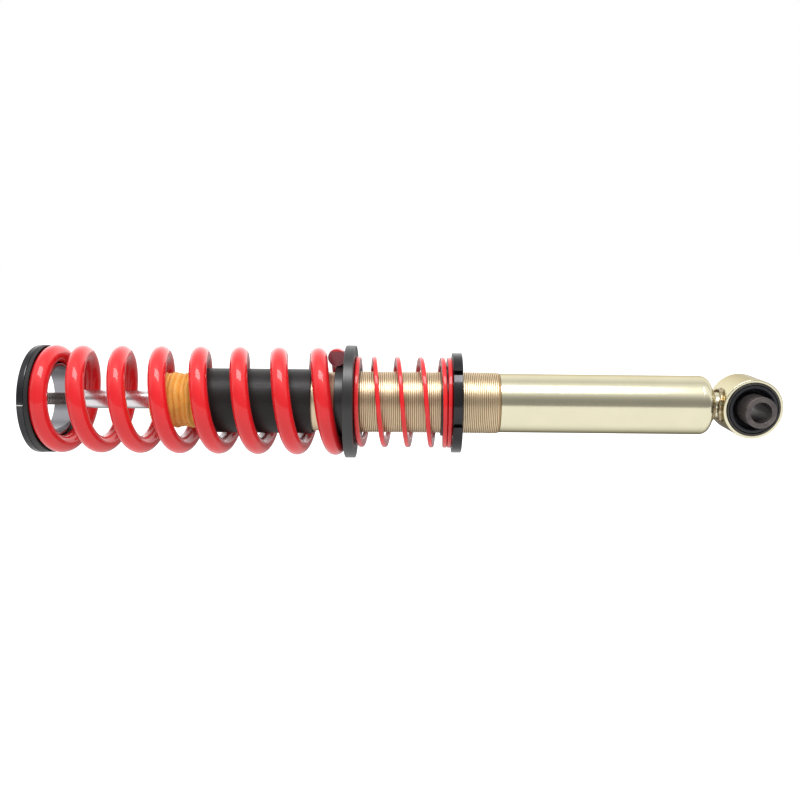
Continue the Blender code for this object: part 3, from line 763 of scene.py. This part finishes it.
def make_body(colours):
    """The plain tube with its rounded base cap, welded and plated as one, with the joint's faint line."""
    left, joint = along("body_tube")
    right = along("base_cap")[1]
    outer = across("body_tube")
    bore = outer - 2.5
    corner = 7.0
    outline = [
        (left, bore), (left, outer - 0.3), (left + 0.08, outer - 0.08), (left + 0.3, outer), (left + 0.6, outer),
    ]
    outline += [(s, outer) for s in np.linspace(left + 20, joint - 6, 8)]
    outline += [
        (joint - 0.6, outer), (joint - 0.3, outer), (joint, outer - 0.12), (joint + 0.3, outer),
        (joint + 0.6, outer),
    ]
    for t in np.linspace(0, math.pi / 2, 13):
        outline.append((right - corner * (1 - math.sin(t)), outer - corner * (1 - math.cos(t))))
    outline += [(right, 14.0), (right, 1.0), (right, 0)]
    inside = [(joint - 4, 0), (joint - 4, bore)]
    piece = turned("body_tube_with_cap", [*inside, *outline])
    material = yellow_zinc(colours, "yellow_zinc_body", DAMPER_AXIS)
    place_piece(piece, "damper", "gold_zinc", material, "body_tube", "base_cap")


def saddle_station(angle, radius):
    """Where the eye's outside lies along X, above a point at this angle and radius."""
    return EYE_X - np.sqrt(across("eye_ring") ** 2 - (radius * np.cos(angle)) ** 2)


def weld_bead(name, station, ring_radius, bead, ripples, angle):
    """A weld laid round the neck, with the ripples of its pool and a little unevenness."""
    ripple = np.abs(np.sin(ripples * angle / 2))
    wander = 0.1 * np.sin(3 * angle + 1.0) + 0.07 * np.sin(7 * angle + 0.4)
    size = bead * (0.9 + 0.16 * ripple + wander)
    turns = np.arange(14) * math.tau / 14
    outline = [(station + size * math.cos(turn), ring_radius + size * math.sin(turn)) for turn in turns]
    return skin(name, (rings_of(outline, angle), True, 0))


def make_eye(colours):
    """The eye ring, the neck that carries it, and the welds at both ends of the neck."""
    low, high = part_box("eye_ring")
    half = (high.y - low.y) / 2 / MM
    outer = across("eye_ring")
    bore = outer - 2.4
    outline = [(-half, bore), (-half, outer), (half, outer), (half, bore)]
    eye = turned("eye_ring_forged", rounded(outline, [0.4, 0.9, 0.9, 0.4]), SIDES, ring_about_bolt)
    place_piece(eye, "damper", "gold_zinc", yellow_zinc(colours, "yellow_zinc_eye", EYE_AXIS), "eye_ring")

    angle = np.arange(96) * math.tau / 96
    left = along("eye_neck")[0]
    neck = 11.5
    end = saddle_station(angle, neck)
    outline = [(left, 0), (left, neck - 2), (left, neck)]
    for share in (0.25, 0.5, 0.75):
        outline.append((left + (end - left) * share, neck - 0.9 * math.sin(math.pi * share)))
    outline += [(end + 0.1, neck), (end + 0.4, neck - 3), (saddle_station(angle, 0) + 0.4, 0)]
    piece = skin("eye_neck_turned", (rings_of(outline, angle), False, 0))
    place_piece(piece, "damper", "gold_zinc", yellow_zinc(colours, "yellow_zinc_neck", DAMPER_AXIS), "eye_neck")

    # Welds under the same plate: lumpy, browner in the pools and duller than the tube.
    material = finish(
        "plated_weld", "#8A6A42", shade(colours.gold, 0.72), 0.26, drift=2.6, grain=0.7,
        relief=0.03, spread=0.08, Metallic=1.0,
    )
    start, stop = along("neck_weld")
    bead = (stop - start) / 2
    cap_weld = weld_bead("cap_weld_bead", start + bead * 0.9, neck + 1.6, bead * 0.92, 22, angle)
    place_piece(cap_weld, "damper", "weld", material, "neck_weld")
    station = saddle_station(angle, neck + 1.6) - 1.0
    eye_weld = weld_bead("eye_weld_bead", station, neck + 1.4, 1.7, 20, angle)
    place_piece(eye_weld, "damper", "weld", material)


def make_bush():
    """The bush: a pressed outer sleeve, the rubber bonded inside it, and the sleeve that takes the bolt."""
    low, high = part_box("bush_outer_sleeve")
    half = (high.y - low.y) / 2 / MM
    outer = (high.z - low.z) / 2 / MM
    outline = [(-half, outer - 1.6), (-half, outer), (half, outer), (half, outer - 1.6)]
    sleeve = turned("bush_outer_shell", rounded(outline, 0.45), SIDES, ring_about_bolt)
    # Drawn steel tube with black phosphate: dark and dry.
    shell_steel = finish(
        "phosphated_shell", "#3B3A3A", "#55524F", 0.36, drift=8, grain=0.5, relief=0.002,
        spread=0.08, turned_about=EYE_AXIS, Metallic=0.8,
    )
    place_piece(sleeve, "damper", "bush_steel", shell_steel, "bush_outer_sleeve")

    bond, lip, core = outer - 1.85, 16.7, 12.4
    low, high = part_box("bush_rubber")
    rubber_half = (high.y - low.y) / 2 / MM
    recess = rubber_half - 9.0
    side = [
        (rubber_half - 0.8, bond), (rubber_half - 0.2, bond - 0.35), (rubber_half, bond - 1.0),
        (rubber_half - 0.1, lip + 0.5), (rubber_half - 0.6, lip + 0.05), (rubber_half - 1.6, lip - 0.25),
        (recess + 2.5, lip - 0.8), (recess + 0.9, lip - 1.2), (recess + 0.2, lip - 1.9),
        (recess + 0.5, core + 1.4), (recess + 1.3, core + 0.6), (recess + 2.6, core + 0.32),
    ]
    outline = side + [(-station, radius) for station, radius in reversed(side)]
    rubber = turned("bush_rubber_bonded", outline, SIDES, ring_about_bolt)
    place_piece(rubber, "damper", "rubber", moulded_rubber("bush_rubber_black", "#15171C"), "bush_rubber")

    low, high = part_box("bush_inner_sleeve")
    length = (high.y - low.y) / 2 / MM
    bore = 8.25
    outline = [(-length, bore), (-length, core), (length, core), (length, bore)]
    inner = turned("bush_inner_tube", rounded(outline, 0.7), SIDES, ring_about_bolt)
    # Cold-drawn steel with brown-grey phosphate: satin, with turned circles on its end faces.
    core_steel = finish(
        "phosphated_core", "#565050", "#716A68", 0.36, drift=10, grain=0.4, relief=0.002,
        spread=0.07, turned_about=EYE_AXIS, Metallic=0.75,
    )
    place_piece(inner, "bush_core", "bush_steel", core_steel, "bush_inner_sleeve")


# ---------------------------------------------------------------- rings on the thread


def make_divider(colours):
    left, right = along("divider_ring")
    rim, hub, bore = across("divider_ring"), 29.0, 25.4
    start, end = left + 8.0, right - 4.0
    outline = [
        (left, bore), (left, hub), (start, hub), (start, rim), (end, rim), (end, hub), (right, hub),
        (right, bore),
    ]
    piece = turned("divider_ring_turned", rounded(outline, [0.5, 0.6, 0.5, 0.8, 0.8, 0.5, 0.6, 0.5]))
    place_piece(piece, "divider", "black_anodised", satin_black(colours), "divider_ring")


def notched_radius(angle, radius, count, first, width, depth):
    """The rim's radius at each angle, with square notches of a real width cut into it."""
    spacing = math.tau / count
    offset = np.mod(angle - first + spacing / 2, spacing) - spacing / 2
    floor = (radius - depth) / np.cos(np.clip(offset, -0.3, 0.3))
    return np.where(np.abs(np.sin(offset)) * radius <= width / 2, np.minimum(floor, radius), radius)


def make_adjuster(colours):
    """The perch: a threaded ring with spanner notches, its locking screw, and the helper's centring collar."""
    left, right = along("adjuster_ring")
    rim, bore = across("adjuster_ring"), 25.4
    count, width, depth, first = 6, 4.4, 3.2, math.radians(45.5)
    half = math.asin(width / 2 / rim)
    step = 0.0006
    angles = []
    for i in range(count):
        centre = first + i * math.tau / count
        angles += [centre - half - step, centre - half + step, centre, centre + half - step, centre + half + step]
        angles += list(centre + half + np.linspace(0.02, math.tau / count - 2 * half - 0.02, 18))
    angle = np.sort(np.mod(np.array(angles), math.tau))

    def edge(inset):
        """The notched rim, drawn in by inset."""
        return notched_radius(angle, rim - inset, count, first, width + 2 * inset, depth)

    soften = 0.55
    outline = [
        (left + 0.4, bore), (left, bore + 0.4), (left, bore + 0.9), (left, edge(soften) - 0.4),
        (left, edge(soften)), (left + 0.12, edge(0.22)), (left + soften, edge(0)),
        (left + soften + 0.3, edge(0)), (right - soften - 0.3, edge(0)), (right - soften, edge(0)),
        (right - 0.12, edge(0.22)), (right, edge(soften)), (right, edge(soften) - 0.4),
        (right, bore + 0.9), (right, bore + 0.4), (right - 0.4, bore),
    ]
    ring = skin("perch_ring_notched", (rings_of(outline, angle), True, 0))
    material = gloss_black("black_gloss_anodise_perch", "#2E2D2F", "#3D3C3E")

    screw_low, screw_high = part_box("lock_screw")
    middle = (screw_low + screw_high) / 2 / MM
    lock_angle = math.atan2(-middle.y, middle.z)
    out = Vector((0, -math.sin(lock_angle), math.cos(lock_angle)))
    side = Vector((0, math.cos(lock_angle), math.sin(lock_angle)))
    turn = np.arange(24) * math.tau / 24

    def round_screw(height, radius):
        """A ring round the locking screw's own axis."""
        centre = np.array(out) * height
        centre[0] += middle.x
        across_x = np.outer(radius * np.cos(turn), (1, 0, 0))
        return centre + across_x + np.outer(radius * np.sin(turn), side)

    drill = ((20, 0), (20, 2.6), (60, 2.6), (60, 0))
    hole = skin("lock_hole", ([round_screw(height, radius) for height, radius in drill], False, 0))
    cut = ring.modifiers.new("lock_hole", "BOOLEAN")
    cut.operation = "DIFFERENCE"
    cut.solver = "EXACT"
    cut.object = hole
    ring = evaluated(ring)
    bpy.data.objects.remove(hole)
    place_piece(ring, "adjuster", "black_gloss_anodised", material, "adjuster_ring")

    reach = math.hypot(middle.y, middle.z) + 4.5
    socket = 1.15 / np.cos(np.mod(turn + math.pi / 6, math.pi / 3) - math.pi / 6)
    shape = (
        (reach - 2.4, 0 * turn), (reach - 2.4, socket), (reach, socket), (reach, 1.95), (reach - 0.35, 2.3),
        (reach - 8.5, 2.3), (reach - 9, 1.8), (reach - 9, 0),
    )
    screw = skin(
        "lock_screw_socket_head", ([round_screw(height, radius) for height, radius in shape], False, 0)
    )
    # Alloy steel, black oxide: near black with a metal's soft shine.
    oxide = finish(
        "black_oxide_screw", "#232325", "#303033", 0.4, drift=4, grain=0.3, relief=0.002,
        Metallic=0.7,
    )
    place_piece(screw, "lock", "black_anodised", oxide, "lock_screw")

    low, high = along("guide_collar")
    outer, bore = across("guide_collar"), 25.4
    collar = turned("helper_guide_collar", rounded([(low, bore), (low, outer), (high, outer), (high, bore)], 0.5))
    place_piece(collar, "collar", "black_anodised", satin_black(colours, "black_satin_collar"), "guide_collar")


# ---------------------------------------------------------------- pieces inside


def finish_hidden():
    """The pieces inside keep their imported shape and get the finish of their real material."""
    steel = plain_steel("ground_steel")
    # Aluminium die casting, shot blasted, of the valve and guide.
    cast = finish(
        "cast_aluminium", "#9C9B97", "#B4B3AE", 0.42, drift=6, grain=0.8, relief=0.02,
        Metallic=1.0,
    )
    rubber = moulded_rubber("seal_rubber")
    # Nylon, moulded: milky white and waxy.
    nylon = finish(
        "natural_nylon", "#D8D2C2", "#E4DFD0", 0.45, drift=8, grain=1.0, relief=0.004,
        IOR=1.53, Subsurface_Weight=0.1, Subsurface_Radius=(0.002, 0.0018, 0.0014), Subsurface_Scale=1.0,
    )
    # Bronze-filled PTFE tape: dull brown.
    band = finish(
        "bronze_ptfe", "#6B5436", "#7D6646", 0.5, drift=5, grain=0.6, relief=0.004,
        Metallic=0.2,
    )
    black = finish(
        "black_gland_anodise", "#1C1B1C", "#262526", 0.36, drift=20, grain=0.5,
        relief=0.0015, turned_about=DAMPER_AXIS, IOR=1.6,
    )
    chosen = {
        "gland_nut": black, "dust_wiper": rubber, "oil_seal": rubber, "rod_guide": cast, "pressure_tube": steel,
        "base_valve": cast, "rebound_stop": nylon, "rebound_shims": steel, "piston": cast, "piston_band": band,
        "compression_shims": steel, "piston_nut": steel, "lock_pad": nylon,
    }
    for name, material in chosen.items():
        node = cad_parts[name]
        if not node.material_slots:
            node.data.materials.append(material)
        for slot in node.material_slots:
            slot.material = material


# ---------------------------------------------------------------- stage


# How bright the studio is from the camera's horizon, over the top, to the horizon behind, by degrees of climb.
STUDIO_LIGHT = (
    (0, 0.34), (14, 0.32), (24, 0.33), (32, 0.42), (40, 0.58), (48, 0.85), (56, 1.15), (83, 1.1), (93, 0.93),
    (104, 0.75), (117, 0.95), (131, 1.2), (150, 1.5), (180, 1.5),
)
FLOOR_GLOW = 1.04  # in front of the part, and added wherever the camera sees the floor
# The dimmer glow behind the part is a painted shadow of the part, which the camera never sees.
FLOOR_DIM = 0.3  # behind the part
FLOOR_FALL = (-0.027, 0.025)  # between these depths, in metres, one turns into the other
SOFTBOX_SIZE = (0.95, 0.4)
SOFTBOX_CLIMB = math.radians(67)
SOFTBOX_DISTANCE = 1.1
LENS = 38.25
LENS_SHIFT = (-0.01875, 0.0027)
AIM_X = 6.15  # where the camera looks along the damper's axis, in mm


def make_world():
    """A white studio: bright behind and overhead, dimmer on the camera's side between floor and softbox."""
    world = bpy.data.worlds.new("studio")
    bpy.context.scene.world = world
    tree = bare_tree(world)
    direction = add_node(tree, "ShaderNodeTexCoord").outputs["Generated"]
    axes = add_node(tree, "ShaderNodeSeparateXYZ", {0: direction}).outputs
    towards = add_node(tree, "ShaderNodeMath", {0: axes[1], 1: -1.0}, operation="MULTIPLY")
    climb = add_node(tree, "ShaderNodeMath", {0: axes[2], 1: towards}, operation="ARCTAN2")
    share = add_node(tree, "ShaderNodeMath", {0: climb, 1: math.pi}, operation="DIVIDE")
    ramp = add_node(tree, "ShaderNodeValToRGB", {0: share})
    stops = ramp.color_ramp
    greys = [(grey, grey, grey, 1) for _, grey in STUDIO_LIGHT]
    stops.elements[0].color, stops.elements[1].color = greys[0], greys[-1]
    for (degrees, _), grey in zip(STUDIO_LIGHT[1:-1], greys[1:-1]):
        stops.elements.new(degrees / 180).color = grey
    studio = add_node(tree, "ShaderNodeBackground", {0: ramp, 1: 1.0})
    white = add_node(tree, "ShaderNodeBackground", {0: (1, 1, 1, 1), 1: 1.0})
    seen = add_node(tree, "ShaderNodeLightPath").outputs["Is Camera Ray"]
    both = add_node(tree, "ShaderNodeMixShader", {0: seen, 1: studio, 2: white})
    add_node(tree, "ShaderNodeOutputWorld", {0: both})


def make_floor(height):
    """A plain pale floor that glows, near white to the eye, and glows less behind the part: a painted shadow, seen in
    reflections and in the light it throws up.
    """
    mesh = bpy.data.meshes.new("floor")
    reach = 6.0
    corners = [(-reach, -reach), (reach, -reach), (reach, reach), (-reach, reach)]
    mesh.from_pydata([(x, y, height) for x, y in corners], [], [(0, 1, 2, 3)])
    floor = add_object("floor", mesh)
    material = bpy.data.materials.new("pale_floor")
    tree = bare_tree(material)
    place = add_node(tree, "ShaderNodeTexCoord").outputs["Object"]
    depth = add_node(tree, "ShaderNodeSeparateXYZ", {0: place}).outputs[1]
    near, far = FLOOR_FALL
    # Painted shadow: the glow falls from FLOOR_GLOW to FLOOR_DIM behind the part.
    fall = add_node(
        tree, "ShaderNodeMapRange", {0: depth, 1: near, 2: far, 3: FLOOR_GLOW, 4: FLOOR_DIM},
        interpolation_type="SMOOTHSTEP",
    )
    seen = add_node(tree, "ShaderNodeLightPath").outputs["Is Camera Ray"]
    glow = add_node(tree, "ShaderNodeMath", {0: seen, 1: FLOOR_GLOW, 2: fall}, operation="MULTIPLY_ADD")
    surface = add_node(
        tree, "ShaderNodeBsdfPrincipled",
        {
            "Base Color": hex_colour("#3A3A3A"), "Roughness": 0.9, "Specular IOR Level": 0.1,
            "Emission Color": (1, 1, 1, 1), "Emission Strength": glow,
        },
    )
    add_node(tree, "ShaderNodeOutputMaterial", {0: surface})
    mesh.materials.append(material)


def add_softbox(power):
    """The softbox over the camera's side of the part."""
    light = bpy.data.lights.new("overhead_softbox", "AREA")
    light.shape = "RECTANGLE"
    light.size, light.size_y = SOFTBOX_SIZE
    light.energy = power
    lamp = add_object("overhead_softbox", light)
    lamp.location = Vector((0, -math.cos(SOFTBOX_CLIMB), math.sin(SOFTBOX_CLIMB))) * SOFTBOX_DISTANCE
    lamp.rotation_euler = (-lamp.location).to_track_quat("-Z", "Y").to_euler()


def make_stage(stage):
    scene = bpy.context.scene
    scene.view_settings.view_transform = "Standard"
    make_world()
    make_floor(CAD_BOX[0].z - 0.0005)
    add_softbox(stage.softbox)
    camera = bpy.data.cameras.new("camera")
    camera.lens = LENS
    camera.sensor_width = 36.0
    camera.shift_x, camera.shift_y = LENS_SHIFT
    eye = add_object("camera", camera)
    back = Vector((0, -math.cos(stage.elevation), math.sin(stage.elevation)))
    eye.location = Vector((AIM_X * MM, 0, 0)) + back * stage.distance
    roll = Matrix.Rotation(stage.roll, 3, "Z")
    eye.rotation_euler = ((-back).to_track_quat("-Z", "Y").to_matrix() @ roll).to_euler()
    scene.camera = eye


# ---------------------------------------------------------------- operators and panel


def settings():
    """The scene's own settings for the coilover."""
    scene = bpy.context.scene
    return scene.coilover_sizes, scene.coilover_colours, scene.coilover_stage


class COILOVER_OT_main_spring(bpy.types.Operator):
    """Bend the round-wire main spring"""

    bl_idname = "coilover.main_spring"
    bl_label = "Main Spring"

    def execute(self, context):
        sizes, colours, _ = settings()
        make_main_spring(sizes, colours)
        return {"FINISHED"}


class COILOVER_OT_helper_spring(bpy.types.Operator):
    """Bend the flat-wire helper spring"""

    bl_idname = "coilover.helper_spring"
    bl_label = "Helper Spring"

    def execute(self, context):
        sizes, colours, _ = settings()
        make_helper_spring(sizes, colours)
        return {"FINISHED"}


class COILOVER_OT_top_seat(bpy.types.Operator):
    """Turn the top spring seat and mould its pad"""

    bl_idname = "coilover.top_seat"
    bl_label = "Top Seat"

    def execute(self, context):
        make_top_seat()
        return {"FINISHED"}


class COILOVER_OT_rod(bpy.types.Operator):
    """Turn the piston rod with its threaded end"""

    bl_idname = "coilover.rod"
    bl_label = "Piston Rod"

    def execute(self, context):
        make_rod(settings()[0])
        return {"FINISHED"}


class COILOVER_OT_bump_stop(bpy.types.Operator):
    """Mould the ribbed bump stop and the dust boot"""

    bl_idname = "coilover.bump_stop"
    bl_label = "Bump Stop and Boot"

    def execute(self, context):
        colours = settings()[1]
        make_bump_stop(colours)
        make_dust_boot(colours)
        return {"FINISHED"}


class COILOVER_OT_damper_body(bpy.types.Operator):
    """Make the threaded tube, and the plain tube with its base cap"""

    bl_idname = "coilover.damper_body"
    bl_label = "Damper Body"

    def execute(self, context):
        sizes, colours, _ = settings()
        make_threaded_tube(sizes, colours)
        make_body(colours)
        return {"FINISHED"}


class COILOVER_OT_eye(bpy.types.Operator):
    """Make the mounting eye, its neck and its welds"""

    bl_idname = "coilover.eye"
    bl_label = "Mounting Eye"

    def execute(self, context):
        make_eye(settings()[1])
        return {"FINISHED"}


class COILOVER_OT_bush(bpy.types.Operator):
    """Make the rubber bush and its sleeves"""

    bl_idname = "coilover.bush"
    bl_label = "Bush"

    def execute(self, context):
        make_bush()
        return {"FINISHED"}


class COILOVER_OT_rings(bpy.types.Operator):
    """Turn the divider ring, the perch ring and the helper's collar"""

    bl_idname = "coilover.rings"
    bl_label = "Divider and Perch"

    def execute(self, context):
        colours = settings()[1]
        make_divider(colours)
        make_adjuster(colours)
        return {"FINISHED"}


class COILOVER_OT_inside(bpy.types.Operator):
    """Give the pieces inside the damper their finishes"""

    bl_idname = "coilover.inside"
    bl_label = "Inside Pieces"

    def execute(self, context):
        finish_hidden()
        return {"FINISHED"}


class COILOVER_OT_stage(bpy.types.Operator):
    """Set up the floor, the light and the camera"""

    bl_idname = "coilover.stage"
    bl_label = "Stage"

    def execute(self, context):
        make_stage(settings()[2])
        return {"FINISHED"}


class COILOVER_PT_panel(bpy.types.Panel):
    """Sizes, colours and the steps that build the coilover"""

    bl_label = "Coilover"
    bl_idname = "COILOVER_PT_panel"
    bl_space_type = "VIEW_3D"
    bl_region_type = "UI"
    bl_category = "Coilover"

    def draw(self, context):
        for group in settings():
            for name in group.__annotations__:
                self.layout.prop(group, name)
        for operator in OPERATORS:
            self.layout.operator(operator.bl_idname)


OPERATORS = (
    COILOVER_OT_main_spring, COILOVER_OT_helper_spring, COILOVER_OT_top_seat, COILOVER_OT_rod,
    COILOVER_OT_bump_stop, COILOVER_OT_damper_body, COILOVER_OT_eye, COILOVER_OT_bush, COILOVER_OT_rings,
    COILOVER_OT_inside, COILOVER_OT_stage,
)
CLASSES = (CoiloverSizes, CoiloverColours, CoiloverStage, *OPERATORS, COILOVER_PT_panel)


def register():
    for made in CLASSES:
        bpy.utils.register_class(made)
    bpy.types.Scene.coilover_sizes = PointerProperty(type=CoiloverSizes)
    bpy.types.Scene.coilover_colours = PointerProperty(type=CoiloverColours)
    bpy.types.Scene.coilover_stage = PointerProperty(type=CoiloverStage)


def unregister():
    del bpy.types.Scene.coilover_sizes
    del bpy.types.Scene.coilover_colours
    del bpy.types.Scene.coilover_stage
    for made in reversed(CLASSES):
        bpy.utils.unregister_class(made)


def main():
    register()
    for operator in OPERATORS:
        group, name = operator.bl_idname.split(".")
        getattr(getattr(bpy.ops, group), name)()


if __name__ == "__main__":
    main()
